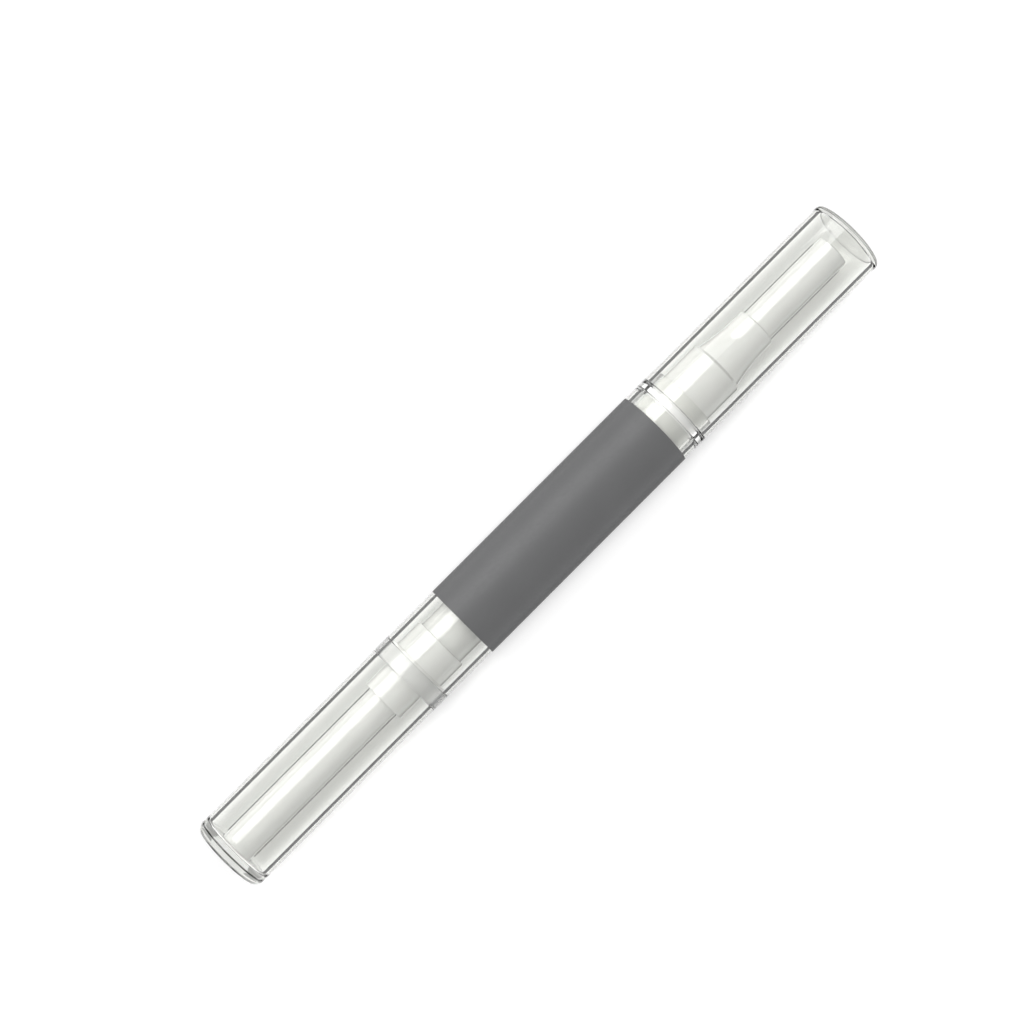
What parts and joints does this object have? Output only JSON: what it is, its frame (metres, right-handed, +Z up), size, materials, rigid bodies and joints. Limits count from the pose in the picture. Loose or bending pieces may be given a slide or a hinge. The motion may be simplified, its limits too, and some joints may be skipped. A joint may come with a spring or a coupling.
{
  "type": "nail oil pen",
  "caption": "Slim clear twist pen that feeds nail oil to a brush: turning the knob screws a rod and piston forward, and a clear cap and a white guard pull off the tip.",
  "frame": {"origin": "middle of the pen's underside, on the surface it lies on", "axes": "+X along the pen towards the cap, +Z up, +Y to the left seen from the knob"},
  "size_m": [0.1236, 0.012, 0.012],
  "materials": {
    "clear_plastic": "clear moulded plastic, polished",
    "white_plastic": "white moulded plastic, satin gloss",
    "label_film": "dark grey satin film, unprinted",
    "frosted_plastic": "natural translucent plastic",
    "soft_seal": "soft pale rubber",
    "nylon_bristle": "fine pale nylon bristles"
  },
  "bodies": {
    "pen_body": {"barrel": "clear_plastic", "label": "label_film", "reservoir": "frosted_plastic", "reservoir_seal": "soft_seal", "seam_ring": "clear_plastic", "rear_holder": "white_plastic", "click_ring": "white_plastic", "thread_nut": "white_plastic", "neck_collar": "clear_plastic", "nozzle": "white_plastic", "brush_ferrule": "white_plastic", "feed_tube": "frosted_plastic", "brush_tuft": "nylon_bristle"},
    "cap": {"cap": "clear_plastic"},
    "brush_guard": {"brush_guard": "white_plastic"},
    "knob": {"knob": "clear_plastic", "drive_sleeve": "white_plastic"},
    "screw_rod": {"screw_rod": "white_plastic"},
    "piston": {"piston": "white_plastic"}
  },
  "joints": [
    {"name": "cap_pull", "type": "slide", "parent": "pen_body", "child": "cap", "axis": [1, 0, 0], "range_m": [0, 0.075]},
    {"name": "guard_pull", "type": "slide", "parent": "pen_body", "child": "brush_guard", "axis": [1, 0, 0], "range_m": [0, 0.0375]},
    {"name": "knob_twist", "type": "hinge", "parent": "pen_body", "child": "knob", "pos_m": [-0.0264, 0, 0.006], "axis": [1, 0, 0], "range_deg": [0, 5040]},
    {"name": "rod_feed", "type": "slide", "parent": "knob", "child": "screw_rod", "axis": [1, 0, 0], "range_m": [0, 0.02801]},
    {"name": "piston_feed", "type": "slide", "parent": "pen_body", "child": "piston", "axis": [1, 0, 0], "range_m": [0, 0.02801]}
  ],
  "couplings": [
    {"joint": "guard_pull", "follows": "cap_pull", "ratio": 0.5},
    {"joint": "rod_feed", "follows": "knob_twist", "m_per_rad": 0.00031831},
    {"joint": "piston_feed", "follows": "knob_twist", "m_per_rad": 0.00031831}
  ]
}
